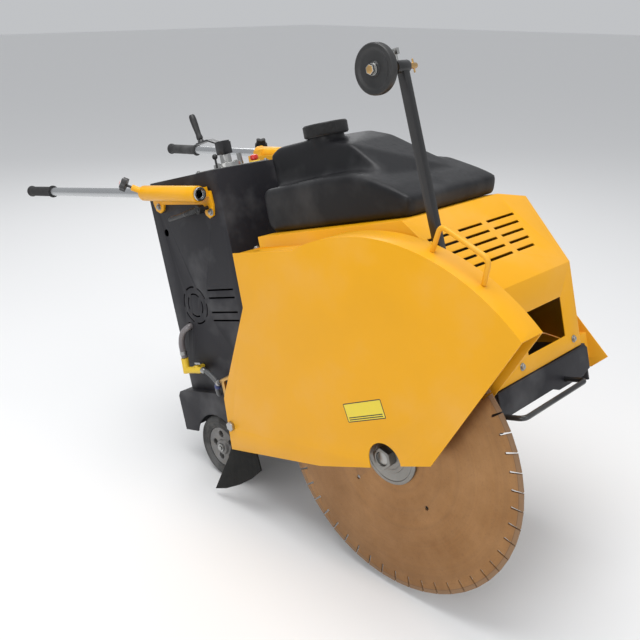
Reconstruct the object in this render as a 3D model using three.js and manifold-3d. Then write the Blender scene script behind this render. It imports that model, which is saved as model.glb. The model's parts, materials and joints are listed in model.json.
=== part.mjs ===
// Walk-behind concrete saw, in millimetres.
// Everything is drawn in the chassis frame: X forward, Y to the operator's left, Z up,
// with the middle of the blade at the origin. The whole machine is then tipped nose-up
// onto its wheels, as it stands for transport, and moved so that the floor is z = 0.
import * as THREE from 'three';
import { mergeVertices } from 'three/addons/utils/BufferGeometryUtils.js';
import { ConvexGeometry } from 'three/addons/geometries/ConvexGeometry.js';
import Module from 'manifold-3d';

const wasm = await Module();
wasm.setup();

// Driving dimensions
const radians = THREE.MathUtils.degToRad;
const noseUp = radians(15.3);
const gap = 0.35;
const sheet = 3;
const bladeRadius = 350;
const bladeThickness = 4.4;
const segmentCount = 50;
const guardRadius = 522;
const guardY = [-54, 20];
const frameX = [-497.5, 283.6];
const frameY = [46, 424];
const railZ = [60, 142];
const deckTop = 150;
const hoodX = [-380, 285];
const hoodY = [46, 504];
const hoodTop = 530;
const hoodFold = [111, 354];
const consoleX = [-837, -498];
const consoleY = [46, 425];
const consoleTop = 720;
const boxX = [-887, -498.2];
const boxY = [24, 446];
const boxZ = [-41, 90];
const rearAxle = [-727, -84.8];
const rearWheelRadius = 98;
const frontAxle = [-174, -260];
const frontWheelRadius = 75;
const yokePivot = [-110, 100];
const shaftRadius = 17;
const enginePulleyAt = [-60, 300];
const beltY = [436, 464];
const mastPivot = [228, 130];
const mastReach = 709;
const mastLean = radians(2.83);
const mastY = [23, 41];
const crankAt = [-600, 170];
const guardPivot = [-531, 34];
const barRadius = 13.5;

// Finishes
const finish = (color, roughness, metalness) => ({ color, roughness, metalness });
const yellow = finish(0xe2a31f, 0.35, 0.1);
const charcoal = finish(0x3a3b3f, 0.5, 0.2);
const steel = finish(0x9a9c9d, 0.35, 0.9);
const castIron = finish(0x55585a, 0.6, 0.7);
const aluminium = finish(0xb4b6b8, 0.4, 0.9);
const bronze = finish(0x916a43, 0.45, 0.8);
const brass = finish(0xb98c3c, 0.3, 0.9);
const plastic = finish(0x2a2828, 0.45, 0);
const rubber = finish(0x1b1b1a, 0.85, 0);
const red = finish(0xc9281e, 0.35, 0);
const clearHose = finish(0xc9ced0, 0.2, 0);

const machine = new THREE.Group();
const chassis = new THREE.Group();
machine.name = 'concrete_saw';
machine.add(chassis);

function addPart(name, geometry, look) {
  const mesh = new THREE.Mesh(geometry, new THREE.MeshStandardMaterial(look));
  mesh.name = name;
  chassis.add(mesh);
}

// ---- Joining and cutting ----
function toSolid(geometry) {
  const bare = geometry.clone();
  bare.deleteAttribute('normal');
  bare.deleteAttribute('uv');
  const merged = mergeVertices(bare, 1e-3);
  const vertProperties = new Float32Array(merged.attributes.position.array);
  const triVerts = new Uint32Array(merged.index.array);
  return new wasm.Manifold(new wasm.Mesh({ numProp: 3, vertProperties, triVerts }));
}

function toGeometry(solid) {
  const mesh = solid.getMesh();
  const geometry = new THREE.BufferGeometry();
  geometry.setAttribute('position', new THREE.BufferAttribute(mesh.vertProperties, 3));
  geometry.setIndex(new THREE.BufferAttribute(mesh.triVerts, 1));
  geometry.computeVertexNormals();
  return geometry;
}

function join(...geometries) {
  return toGeometry(geometries.map(toSolid).reduce((whole, next) => whole.add(next)));
}

function cut(geometry, ...tools) {
  return toGeometry(tools.map(toSolid).reduce((whole, next) => whole.subtract(next), toSolid(geometry)));
}

// ---- Shapes ----
function block([x0, x1], [y0, y1], [z0, z1]) {
  const geometry = new THREE.BoxGeometry(x1 - x0, y1 - y0, z1 - z0);
  return geometry.translate((x0 + x1) / 2, (y0 + y1) / 2, (z0 + z1) / 2);
}

// A cylinder along Y, centred on (x, z)
function barY(radius, [y0, y1], [x, z], sides = 16) {
  return new THREE.CylinderGeometry(radius, radius, y1 - y0, sides).translate(x, (y0 + y1) / 2, z);
}

// A cylinder along Z, centred on (x, y)
function barZ(radius, [z0, z1], [x, y], sides = 16) {
  const geometry = new THREE.CylinderGeometry(radius, radius, z1 - z0, sides);
  return geometry.rotateX(Math.PI / 2).translate(x, y, (z0 + z1) / 2);
}

// A cylinder between two points
function bar(radius, from, to, sides = 12) {
  const along = new THREE.Vector3(...to).sub(new THREE.Vector3(...from));
  const geometry = new THREE.CylinderGeometry(radius, radius, along.length(), sides);
  const turn = new THREE.Quaternion().setFromUnitVectors(new THREE.Vector3(0, 1, 0), along.clone().normalize());
  return geometry.translate(0, along.length() / 2, 0).applyQuaternion(turn).translate(...from);
}

function outline(points) {
  const shape = new THREE.Shape();
  points.forEach(([u, v], i) => (i ? shape.lineTo(u, v) : shape.moveTo(u, v)));
  shape.closePath();
  return shape;
}

// A plate whose outline lies in X and Z
function plateXZ(shape, [y0, y1], curveSegments = 12) {
  const settings = { depth: y1 - y0, bevelEnabled: false, curveSegments };
  return new THREE.ExtrudeGeometry(shape, settings).rotateX(Math.PI / 2).translate(0, y1, 0);
}

// A plate whose outline lies in Y and Z
function plateYZ(shape, [x0, x1], curveSegments = 12) {
  const settings = { depth: x1 - x0, bevelEnabled: false, curveSegments };
  const geometry = new THREE.ExtrudeGeometry(shape, settings);
  return geometry.rotateX(Math.PI / 2).rotateZ(Math.PI / 2).translate(x0, 0, 0);
}

// A ring turned about Y: profile points are (radius, y) and close on themselves
function turnedY(profile, [x, z], sides = 24) {
  const points = profile.map(([radius, y]) => new THREE.Vector2(radius, y));
  if (THREE.ShapeUtils.area(points) < 0) points.reverse();
  points.push(points[0].clone());
  return new THREE.LatheGeometry(points, sides).translate(x, 0, z);
}

function hull(points) {
  return new ConvexGeometry(points.map((point) => new THREE.Vector3(...point)));
}

function circle(radius, sides) {
  return outline(Array.from({ length: sides }, (_, i) => {
    const angle = (i / sides) * 2 * Math.PI;
    return [radius * Math.cos(angle), radius * Math.sin(angle)];
  }));
}

// A round bar or hose that follows a smooth route
function routed(points, radius, steps, sides = 8) {
  const route = points.map((point) => new THREE.Vector3(...point));
  const extrudePath = new THREE.CatmullRomCurve3(route, false, 'centripetal');
  return new THREE.ExtrudeGeometry(circle(radius, sides), { steps, extrudePath, bevelEnabled: false });
}

const grow = ([low, high], by) => [low - by, high + by];

// ---- Frame ----
function buildFrame() {
  const rail = 6;
  const deck = block(frameX, frameY, [railZ[1] - 1, deckTop]);
  const rails = [
    block(frameX, [frameY[0], frameY[0] + rail], [railZ[0], deckTop]),
    block(frameX, [frameY[1] - rail, frameY[1]], [railZ[0], deckTop]),
  ];
  const ends = [
    block([frameX[0], frameX[0] + rail], frameY, [railZ[0], deckTop]),
    block([frameX[1] - rail, frameX[1]], frameY, [95, deckTop]),
  ];
  const pinHole = barY(14 + gap, grow(frameY, 5), yokePivot);
  const mastHole = barY(8 + gap, [40, 60], mastPivot, 18);
  addPart('main_frame', cut(join(deck, ...rails, ...ends), pinHole, mastHole), charcoal);

  const carrierTop = railZ[1] - 1 - gap;
  const carrier = block([-58, 58], [66, 384], [60, carrierTop]);
  addPart('spindle_carrier', cut(carrier, block([-52, 52], [60, 390], [66, carrierTop - 6])), charcoal);

  const bearing = outline([
    [-52, 60 - gap], [-52, 46], [-34, 34], [-40, -20], [-22, -42], [22, -42], [40, -20], [34, 34], [52, 46], [52, 60 - gap],
  ]);
  [['bearing_block_right', [70, 110]], ['bearing_block_left', [340, 380]]].forEach(([name, width]) => {
    const bore = barY(shaftRadius + gap, grow(width, 3), [0, 0]);
    addPart(name, cut(plateXZ(bearing, width), bore), castIron);
  });
}

function buildFront() {
  const face = outline([
    [46, 90], [255, 90], [280, 80], [390, 79], [412, 87], [424, 88], [424, 141], [414, 150], [46, 150],
  ]);
  const plateX = [frameX[1] + gap, 290];
  addPart('front_bumper', plateYZ(face, plateX), charcoal);

  const barZ = 98;
  const reach = 342;
  const start = plateX[1] + gap;
  const route = [
    [start, 50, barZ], [reach - 20, 50, barZ], [reach - 6, 54, barZ], [reach, 70, barZ],
    [reach, 287, barZ], [reach - 6, 303, barZ], [reach - 20, 307, barZ], [start, 307, barZ],
  ];
  addPart('front_loop_bar', routed(route, 6, 24), charcoal);
}

// ---- Hood over the engine ----
function hoodHull(inset) {
  const [rear, front] = [hoodX[0] + inset, hoodX[1] - inset];
  const [near, far] = [hoodY[0] + inset, hoodY[1] - inset];
  const top = hoodTop - inset;
  const slant = inset * 0.42;
  const bottom = inset ? deckTop - 10 : deckTop + 2;
  const [brow, foldZ] = [hoodFold[0] - slant, hoodFold[1] - slant];
  const wingTop = 512 - inset;
  return hull([
    [rear, near, bottom], [rear, near, top], [brow, near, top], [front, near, foldZ], [front, near, bottom],
    [front, 405 - slant, bottom], [front, 405 - slant, foldZ], [132 - slant, far, wingTop - 4], [132 - slant, far, bottom],
    [rear, far, bottom], [rear, far, wingTop], [rear, 416, top], [brow, 416, top],
  ]);
}

function louvreCutters() {
  const [browX, foldZ] = hoodFold;
  const slope = Math.atan2(hoodTop - foldZ, hoodX[1] - browX);
  const pitch = 25;
  const cutters = [];
  for (let row = 0; row < 5; row += 1) {
    const along = 70 + row * pitch;
    const spans = [[62 + row * 5, 153], [172, 264], [283, 396 - row * 10.5]];
    spans.forEach(([y0, y1]) => {
      const cutter = new THREE.BoxGeometry(7, y1 - y0, 24).rotateY(slope);
      const x = browX + along * Math.cos(slope);
      cutters.push(cutter.translate(x, (y0 + y1) / 2, hoodTop - along * Math.sin(slope)));
    });
  }
  return cutters;
}

function buildHood() {
  const window = block(grow([hoodX[1], hoodX[1]], 10), [184, 343], [191, 284]);
  addPart('engine_hood', cut(hoodHull(0), hoodHull(sheet), window, ...louvreCutters()), yellow);
}

// ---- Engine and belt drive ----
function buildEngine() {
  const base = deckTop + gap;
  const [shaftX, shaftZ] = enginePulleyAt;
  const crankcase = block([-170, 60], [150, 400], [base, 390]);
  const feet = block([-200, 90], [170, 380], [base, base + 14]);
  const barrel = block([55, 176], [220, 330], [240, 330]);
  const fins = Array.from({ length: 6 }, (_, i) => block([78 + i * 17, 84 + i * 17], [200, 350], [222, 348]));
  const cowl = barY(105, [120, 152], [-60, 270], 28);
  addPart('engine_block', join(crankcase, feet, barrel, ...fins, cowl), aluminium);
  addPart('muffler', join(bar(42, [10, 180, 433], [10, 360, 433], 24), bar(14, [-60, 340, 433], [12, 340, 433], 14)), steel);

  const shaft = barY(12.5, [400 + gap, beltY[1] + 6], [shaftX, shaftZ]);
  addPart('engine_shaft', shaft, steel);
}

function groovedPulley(radius, bore, centre) {
  const grooves = 2;
  const pitch = (beltY[1] - beltY[0]) / grooves;
  const profile = [[bore, beltY[0] - 3], [radius, beltY[0] - 3]];
  for (let i = 0; i < grooves; i += 1) {
    const y = beltY[0] + i * pitch;
    profile.push([radius, y + 1], [radius - 9, y + 3], [radius - 9, y + pitch - 3], [radius, y + pitch - 1]);
  }
  profile.push([radius, beltY[1] + 3], [bore, beltY[1] + 3]);
  return turnedY(profile, centre, 18);
}

function beltLoop(extra, radii) {
  const [x, z] = enginePulleyAt;
  const lean = Math.atan2(z, x);
  const tilt = Math.asin((radii[0] - radii[1]) / Math.hypot(x, z));
  const half = Math.PI / 2;
  const shape = new THREE.Shape();
  shape.absarc(0, 0, radii[0] + extra, lean + half - tilt, lean - half + tilt, false);
  shape.absarc(x, z, radii[1] + extra, lean - half + tilt, lean + half - tilt, false);
  shape.closePath();
  return shape;
}

function buildBelts() {
  const radii = [48, 36];
  addPart('spindle_pulley', groovedPulley(radii[0], shaftRadius + gap, [0, 0]), castIron);
  addPart('engine_pulley', groovedPulley(radii[1], 12.5 + gap, enginePulleyAt), castIron);
  const outer = plateXZ(beltLoop(8, radii), grow(beltY, -1), 10);
  addPart('drive_belts', cut(outer, plateXZ(beltLoop(1, radii), grow(beltY, 4), 10)), rubber);

  const coverY = [428, 524];
  const cover = [
    [236, 149.6], [-96, 149.6], [-74, 10], [-58, -36], [-24, -64], [24, -64], [58, -30], [84, 6], [150, 40], [236, 84],
  ];
  const lining = [
    [232, 146], [-92, 146], [-70.5, 10], [-55, -33], [-22, -60], [22, -60], [55, -28], [81, 10], [148, 44], [232, 88],
  ];
  const wing = [[285, 86], [223, 182], [190, 230], [120, 150], [150, 60], [237.7, 59]];
  const mouth = block([-92, 74], [coverY[0] + sheet, 500], [140, 160]);
  const shell = cut(
    join(plateXZ(outline(cover), coverY), plateXZ(outline(wing), [coverY[1] - sheet, coverY[1]])),
    plateXZ(outline(lining), grow(coverY, -sheet)),
    mouth,
    barY(30, [420, 440], [0, 0]),
  );
  addPart('belt_cover', shell, yellow);
}

// ---- Blade and spindle ----
function bladeOutline() {
  const points = [];
  const step = (2 * Math.PI) / segmentCount;
  const slotHalf = 1.6;
  const holeRadius = 3.6;
  const holeAt = bladeRadius - 27;
  const onBlade = (radius, angle, side) => points.push([
    radius * Math.cos(angle) - side * Math.sin(angle),
    radius * Math.sin(angle) + side * Math.cos(angle),
  ]);
  for (let i = 0; i < segmentCount; i += 1) {
    const angle = i * step;
    onBlade(bladeRadius, angle, -slotHalf);
    for (const turn of [130, 45, -45, -130]) {
      const around = radians(turn);
      onBlade(holeAt - holeRadius * Math.cos(around), angle, -holeRadius * Math.sin(around));
    }
    onBlade(bladeRadius, angle, slotHalf);
  }
  return outline(points);
}

function buildBlade() {
  const half = bladeThickness / 2;
  const bore = shaftRadius + gap;
  const pinHoles = [[-125, -77], [79, -124]].map((place) => barY(6, [-9, 9], place, 10));
  const disc = plateXZ(bladeOutline(), [-half, half]);
  addPart('blade', cut(disc, barY(bore, [-9, 9], [0, 0]), ...pinHoles), bronze);

  const flange = 76;
  const seat = half + gap;
  addPart('outer_flange', turnedY([
    [bore, -seat], [flange, -seat], [flange, -8], [flange - 8, -11], [40, -11], [34, -16], [bore, -16],
  ], [0, 0]), steel);
  addPart('inner_flange', turnedY([
    [bore, seat], [flange, seat], [flange, 10], [flange - 8, 13], [30, 14], [30, 40], [bore, 40],
  ], [0, 0]), steel);
  addPart('spindle_shaft', barY(shaftRadius, [-34, beltY[1] + 8], [0, 0]), steel);
  const nut = new THREE.CylinderGeometry(28, 28, 22, 6).translate(0, -27 - gap, 0);
  addPart('spindle_nut', cut(nut, barY(bore, [-50, -10], [0, 0])), steel);
}

// ---- Blade guard ----
function guardSide() {
  const shape = new THREE.Shape();
  const [startX, endZ] = [-147, 292];
  shape.moveTo(-554, -37);
  shape.lineTo(-539, 114);
  shape.lineTo(-372, 367);
  shape.lineTo(-368, 507);
  shape.absarc(0, 0, guardRadius, Math.acos(startX / guardRadius), Math.asin(endZ / guardRadius), true);
  shape.lineTo(159, 10);
  shape.lineTo(71, -2);
  shape.absarc(24, 0, 48, 0, Math.PI, false);
  shape.lineTo(-24, -18);
  shape.lineTo(-199, -38);
  shape.closePath();
  return shape;
}

function guardBand() {
  const shape = new THREE.Shape();
  const [start, end] = [Math.acos(-147 / guardRadius), Math.asin(292 / guardRadius)];
  shape.moveTo(-368, 507);
  shape.absarc(0, 0, guardRadius, start, end, true);
  shape.absarc(0, 0, guardRadius - sheet, end, start, false);
  shape.lineTo(-368, 507 - sheet);
  shape.closePath();
  return shape;
}

function buildGuard() {
  const [near, far] = guardY;
  const pivotHole = barY(8 + gap, grow(guardY, 4), guardPivot, 18);
  const outer = plateXZ(guardSide(), [near, near + sheet], 14);
  const spindleNotch = plateXZ(outline([
    [-46, 10], [-32, 36], [0, 48], [40, 48], [72, 10], [72, -60], [-60, -60],
  ]), [far - 8, far + 4]);
  const inner = cut(plateXZ(guardSide(), [far - sheet, far], 14), spindleNotch);
  const band = plateXZ(guardBand(), [near + 1, far - 1], 14);
  addPart('blade_guard', cut(join(outer, inner, band), pivotHole), yellow);

  const handleY = -17;
  const feet = [[231, 469], [341.5, 396.5]];
  const route = [
    [...feet[0]], [240, 487], [249, 502], [262, 509], [310, 476], [352, 447], [361, 437], [357, 420], [...feet[1]],
  ].map(([x, z]) => [x, handleY, z]);
  addPart('guard_lift_handle', routed(route, 5.5, 22), yellow);

  const flapY = [near + sheet + gap, near + sheet + gap + 5];
  const flap = outline([
    [-548, -10], [-452, -22], [-448, -88], [-500, -120], [-560, -146], [-630, -168], [-685, -177], [-634, -120], [-580, -62],
  ]);
  addPart('splash_flap', plateXZ(flap, flapY), rubber);

  const pin = barY(8, [near - 4, 44], guardPivot, 18);
  addPart('guard_pivot_bolt', join(pin, barY(14, [near - 9, near - gap], guardPivot, 6)), steel);
}

// ---- Rear box, wheels and axles ----
function buildRear() {
  const [z0, z1] = boxZ;
  const side = (inset) => outline([
    [boxX[0] + inset, inset ? z0 - 20 : z0], [boxX[0] + inset, 69], [-876 + inset, 84 - inset], [-851, z1 - inset],
    [boxX[1] - inset, z1 - inset], [boxX[1] - inset, inset ? z0 - 20 : z0],
  ]);
  const shell = cut(plateXZ(side(0), boxY), plateXZ(side(4), grow(boxY, -4)));
  const arches = barY(rearWheelRadius + 8, grow(boxY, 5), rearAxle, 32);
  const bracket = outline([[-775, z1 - 3], [-680, z1 - 3], [-690, -20], [-705, -108], [-749, -108], [-764, -20]]);
  const brackets = [[86, 94], [376, 384]].map((width) => plateXZ(bracket, width));
  const holes = [barY(12 + gap, [80, 390], rearAxle, 20), barY(8 + gap, [20, 36], guardPivot, 18)];
  addPart('rear_box', cut(join(cut(shell, arches), ...brackets), ...holes), charcoal);
  addPart('rear_axle', barY(12, [26, 444], rearAxle, 20), steel);

  [['right', [28.5, 73.5]], ['left', [396.5, 441.5]]].forEach(([name, [y0, y1]]) => {
    const [radius, seat] = [rearWheelRadius, 62];
    addPart(`rear_tyre_${name}`, turnedY([
      [seat, y0 + 4], [radius - 8, y0], [radius, y0 + 7], [radius, y1 - 7], [radius - 8, y1], [seat, y1 - 4],
    ], rearAxle, 32), rubber);
    const windows = Array.from({ length: 5 }, (_, i) => {
      const angle = radians(i * 72 + 20);
      const place = [rearAxle[0] + 39 * Math.cos(angle), rearAxle[1] + 39 * Math.sin(angle)];
      return barY(11, [y0 - 5, y1 + 5], place, 10);
    });
    addPart(`rear_hub_${name}`, cut(turnedY([
      [12 + gap, y0 + 1], [22, y0 + 1], [24, y0 + 10], [52, y0 + 10], [seat - gap, y0 + 6], [seat - gap, y1 - 6],
      [52, y1 - 10], [24, y1 - 10], [22, y1 - 1], [12 + gap, y1 - 1],
    ], rearAxle, 20), ...windows), aluminium);
  });
}

function buildFrontAxle() {
  const axleRadius = 10;
  const arm = outline([[-132, 92], [-88, 92], [-158, -272], [-190, -272]]);
  const yoke = join(
    barY(20, grow(frameY, -7), yokePivot),
    barY(14, grow(frameY, 2), yokePivot),
    plateXZ(arm, [116, 128]),
    plateXZ(arm, [252, 264]),
    barY(axleRadius, [62, 318], frontAxle),
    barY(12, [120, 260], [-140, -80]),
  );
  addPart('front_yoke', yoke, charcoal);
  [['right', [66, 112]], ['left', [268, 314]]].forEach(([name, [y0, y1]]) => {
    const [radius, bore] = [frontWheelRadius, axleRadius + gap];
    addPart(`front_wheel_${name}`, turnedY([
      [bore, y0 + 2], [22, y0 + 2], [44, y0 + 8], [radius - 5, y0], [radius, y0 + 5],
      [radius, y1 - 5], [radius - 5, y1], [44, y1 - 8], [22, y1 - 2], [bore, y1 - 2],
    ], frontAxle, 28), rubber);
  });
}

// ---- Console ----
// A broken ring of curved slots: so many arcs, each so many degrees long
function arcSlots(radius, count, length, first) {
  const half = 2.2;
  return Array.from({ length: count }, (_, i) => {
    const start = radians(first + (i * 360) / count);
    const end = start + radians(length);
    const shape = new THREE.Shape();
    shape.absarc(0, 0, radius + half, start, end, false);
    shape.absarc(0, 0, radius - half, end, start, true);
    shape.closePath();
    return shape;
  });
}

function buildConsole() {
  const side = (inset) => outline([
    [consoleX[0] + inset, inset ? 80 : boxZ[1] + gap], [consoleX[0] + inset, 690], [-815 + inset * 0.5, consoleTop - inset],
    [consoleX[1] - inset, consoleTop - inset], [consoleX[1] - inset, inset ? 80 : boxZ[1] + gap],
  ]);
  const shell = cut(plateXZ(side(0), consoleY), plateXZ(side(sheet), grow(consoleY, -sheet)));
  const ventAt = [-723, 352];
  const ventArcs = [...arcSlots(55, 6, 44, 20), ...arcSlots(34, 4, 64, 45)].map((shape) => (
    plateXZ(shape, [40, 52], 4).translate(ventAt[0], 0, ventAt[1])
  ));
  const leverEar = block([-591, -575], [106, 112], [676, consoleTop - 1]);
  const slots = [306, 330, 372, 395].map((z) => block([-650, -530], [40, 52], grow([z, z], 2.5)));
  const holes = [
    barY(11, [40, 52], [-788, 572], 16),
    barY(12.5, [40, 52], [-773, 289], 16),
    barY(4 + gap, [100, 116], [-583, 690], 14),
    barZ(10 + gap, [700, 740], crankAt, 18),
    barZ(7, [700, 740], [-572, 250], 14),
    barZ(9, [700, 740], [-600, 220], 14),
    block([-606, -560], [115, 125], [700, 740]),
  ];
  addPart('console', cut(join(shell, leverEar), ...ventArcs, ...slots, ...holes), charcoal);

  const plateZ = [consoleTop + gap, consoleTop + 4];
  const plate = block([-660, -540], [100, 275], plateZ);
  const tower = join(barZ(38, [plateZ[0], 735], crankAt, 28), barZ(16, [730, 759], crankAt, 20));
  addPart('control_plate', cut(join(plate, tower), ...holes.slice(3), barZ(10 + gap, [700, 770], crankAt, 18)), aluminium);
}

function buildControls() {
  const [x, y] = crankAt;
  const hub = block(grow([x, x], 16), grow([y, y], 16), [760, 793]);
  const arm = plateXZ(outline([
    [x + 16, 792], [x + 16, 797], [x - 19, 797], [x - 56, 811], [x - 108, 808], [x - 108, 803], [x - 55, 806], [x - 18, 792],
  ]), grow([y, y], 12));
  const pin = bar(5, [x - 96, y, 806], [x - 115, y, 886], 14);
  const screw = barZ(10, [560, 762], crankAt, 18);
  addPart('crank_handle', join(hub, arm, bar(9, [x - 95.5, y, 804], [x - 98, y, 814], 16), pin, screw), steel);
  const grip = bar(10, [x - 98.6, y, 817], [x - 116.2, y, 891], 18);
  const gripBore = bar(5 + gap, [x - 96, y, 806], [x - 115.4, y, 887.7], 14);
  addPart('crank_grip', cut(grip, gripBore), plastic);

  addPart('stop_button', join(barZ(6, [712, 730], [-572, 250], 14), barZ(12, [729, 745], [-572, 250], 20)), red);
  addPart('ignition_key', join(barZ(8.5, [712, 733], [-600, 220], 14), block([-609, -591], [218, 222], [732, 757])), steel);
  const lever = bar(3, [-583, 120, 690], [-583, 120, 752], 12);
  const ball = new THREE.SphereGeometry(8, 10, 7).rotateX(Math.PI / 2).translate(-583, 120, 756);
  addPart('throttle_lever', join(lever, ball, barY(7, [113, 127], [-583, 690], 16), barY(4, [104, 120], [-583, 690], 14)), plastic);
}

// ---- Pull-out handlebars, one each side ----
function starKnob(centre, axis) {
  const lobes = 5;
  const rim = Array.from({ length: 30 }, (_, i) => {
    const angle = (i / 30) * 2 * Math.PI;
    const radius = 18.5 + 3 * Math.cos(lobes * angle);
    return [radius * Math.cos(angle), radius * Math.sin(angle)];
  });
  const head = new THREE.ExtrudeGeometry(outline(rim), { depth: 16, bevelEnabled: false }).translate(0, 0, -8);
  const stem = barZ(4, [-43, 0], [0, 0], 14);
  const turn = new THREE.Quaternion().setFromUnitVectors(new THREE.Vector3(0, 0, 1), axis);
  return join(head, stem).applyQuaternion(turn).translate(...centre);
}

function buildHandle({ side, face, outward, axisY, centre, pitch, pushedIn }) {
  const [cx, cz] = centre;
  const along = (d, up = 0) => [
    cx - d * Math.cos(pitch) + up * Math.sin(pitch), axisY, cz + d * Math.sin(pitch) + up * Math.cos(pitch),
  ];
  const span = (near, far) => [face + outward * near, face + outward * far].sort((a, b) => a - b);
  const drop = cz - 681;

  const knobCentre = [cx - 158, face + outward * 80, cz + 51];
  const knobAxis = new THREE.Vector3(-0.59, outward * 0.605, 0.533).normalize();
  const knobRoot = new THREE.Vector3(...knobCentre).addScaledVector(knobAxis, -50);
  const knobMouth = new THREE.Vector3(...knobCentre).addScaledVector(knobAxis, -14);
  const boss = bar(9, knobRoot.toArray(), new THREE.Vector3(...knobCentre).addScaledVector(knobAxis, -24).toArray(), 18);
  const bracket = plateXZ(outline([
    [cx - 143, 662], [cx - 136, 640], [cx - 118, 631], [cx - 100, 638], [cx - 92, 654], [cx + 92, 636], [cx + 98, 606],
    [cx + 112, 596], [cx + 130, 602], [cx + 138, 630], [cx + 136, 668], [cx - 140, 700],
  ].map(([x, z]) => [x, z + drop])), span(gap, 7));
  const saddles = [-100, 110].map((x) => {
    const z = cz - x * Math.sin(pitch);
    return block(grow([cx + x, cx + x], 18), span(6, 24), grow([z, z], 13));
  });
  const sleeve = cut(
    join(bar(22, along(130), along(-130), 18), bracket, ...saddles, boss),
    bar(barRadius + 0.5, along(170), along(-170), 18),
    bar(4 + gap, knobRoot.toArray(), knobMouth.toArray(), 14),
    barY(5 + gap, span(-2, 30), [cx + 113, 625 + drop], 14),
  );
  addPart(`handle_sleeve_${side}`, sleeve, yellow);
  addPart(`star_knob_${side}`, starKnob(knobCentre, knobAxis), plastic);

  const [front, rear] = [-133 - pushedIn, 826 - pushedIn];
  const tube = cut(bar(barRadius, along(front), along(rear), 20), bar(barRadius - 3, along(front - 5), along(rear + 5), 16));
  addPart(`handlebar_${side}`, tube, aluminium);
  const grip = join(
    bar(16, along(rear - 148), along(rear + 7), 24),
    bar(20, along(rear - 149), along(rear - 143), 24),
    bar(18.5, along(rear + 1), along(rear + 7), 24),
  );
  addPart(`grip_${side}`, cut(grip, bar(barRadius + gap, along(rear - 160), along(rear + gap), 24)), rubber);

  const hubY = span(24, 44);
  const lever = bar(8, [cx + 113, axisY, 625 + drop], [cx - 35, axisY, 610 + drop], 16);
  const hub = join(barY(12, hubY, [cx + 113, 625 + drop], 20), barY(5, span(4, 30), [cx + 113, 625 + drop], 14));
  addPart(`clamp_lever_${side}`, join(lever, hub), plastic);
}

// ---- Guide arm over the nose ----
function buildGuide() {
  const screwAt = 18;
  const place = (geometry) => geometry.rotateY(-mastLean).translate(mastPivot[0], 0, mastPivot[1]);
  const rodRadius = 6;
  const top = mastReach;
  const tube = block([-9, 9], mastY, [-14, top]);
  const bore = block([-6.5, 6.5], grow(mastY, -2.5), [-20, mastReach - 16]);
  const crossTube = barY(13, [8, 46], [0, mastReach], 20);
  const pin = barY(8, [mastY[1] - 2, 62], [0, 0], 18);
  const arm = cut(
    join(cut(tube, bore), crossTube, pin),
    barY(rodRadius + gap, [0, 60], [0, mastReach], 18),
    barZ(4 + gap, [mastReach, top + 20], [0, screwAt], 14),
  );
  addPart('guide_arm', place(arm), charcoal);
  const screw = join(
    barZ(4, [mastReach + rodRadius + gap, top + 31], [0, screwAt], 14),
    block([-9, 9], grow([screwAt, screwAt], 3.5), [top + 24, top + 36]),
  );
  addPart('guide_thumbscrew', place(screw), steel);
  const rod = join(
    barY(rodRadius, [-64, 75], [0, mastReach], 18),
    barY(9, [-68, -58 - gap], [0, mastReach], 6),
    barY(9, [-40 + gap, -26], [0, mastReach], 18),
    barZ(2, [mastReach - 14, mastReach + 14], [0, 68], 10),
  );
  addPart('guide_rod', place(rod), steel);
  addPart('guide_wheel', place(turnedY([
    [rodRadius + gap, -58], [14, -58], [16, -54], [36, -54], [40, -57], [50, -55],
    [50, -43], [40, -41], [36, -44], [16, -44], [14, -40], [rodRadius + gap, -40],
  ], [0, mastReach], 20)), plastic);
}

// ---- Water tank and plumbing ----
function tankLower(inset) {
  const profile = [
    [-373, 531], [-387, 551], [-384, 638], [-374, 644], [-179, 650], [-71, 648], [-22, 638], [52, 604], [105, 570], [92, 531],
  ];
  const middle = [-140, 590];
  const width = [90 + inset, 440 - inset];
  const near = (shrink) => profile.map(([x, z]) => [
    x - Math.sign(x - middle[0]) * shrink, z - Math.sign(z - middle[1]) * shrink,
  ]);
  const rim = near(inset);
  const soft = near(inset + 10);
  return hull([
    ...rim.flatMap(([x, z]) => [[x, width[0] + 12, z], [x, width[1] - 12, z]]),
    ...soft.flatMap(([x, z]) => [[x, width[0], z], [x, width[1], z]]),
  ]);
}

function tankUpper(inset) {
  const base = 610;
  const [rear, front] = [-398 + inset, 30 - inset];
  const [near, far] = [152 + inset, 392 - inset];
  const top = 747 - inset;
  return hull([
    [-386 + inset, near, base], [-386 + inset, far, base], [front, near, base], [front + 20, far, base],
    [rear, near + 4, 727 - inset], [rear, far, 727 - inset], [-371 + inset, near + 14, top - 2], [-371 + inset, far - 14, top - 2],
    [-262, near + 14, top], [-226, far - 14, top - 2], [-107 - inset * 0.4, near + 6, 716 - inset],
    [-163 - inset * 0.4, far - 6, 724 - inset], [-117, far - 2, 693 - inset],
  ]);
}

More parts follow.
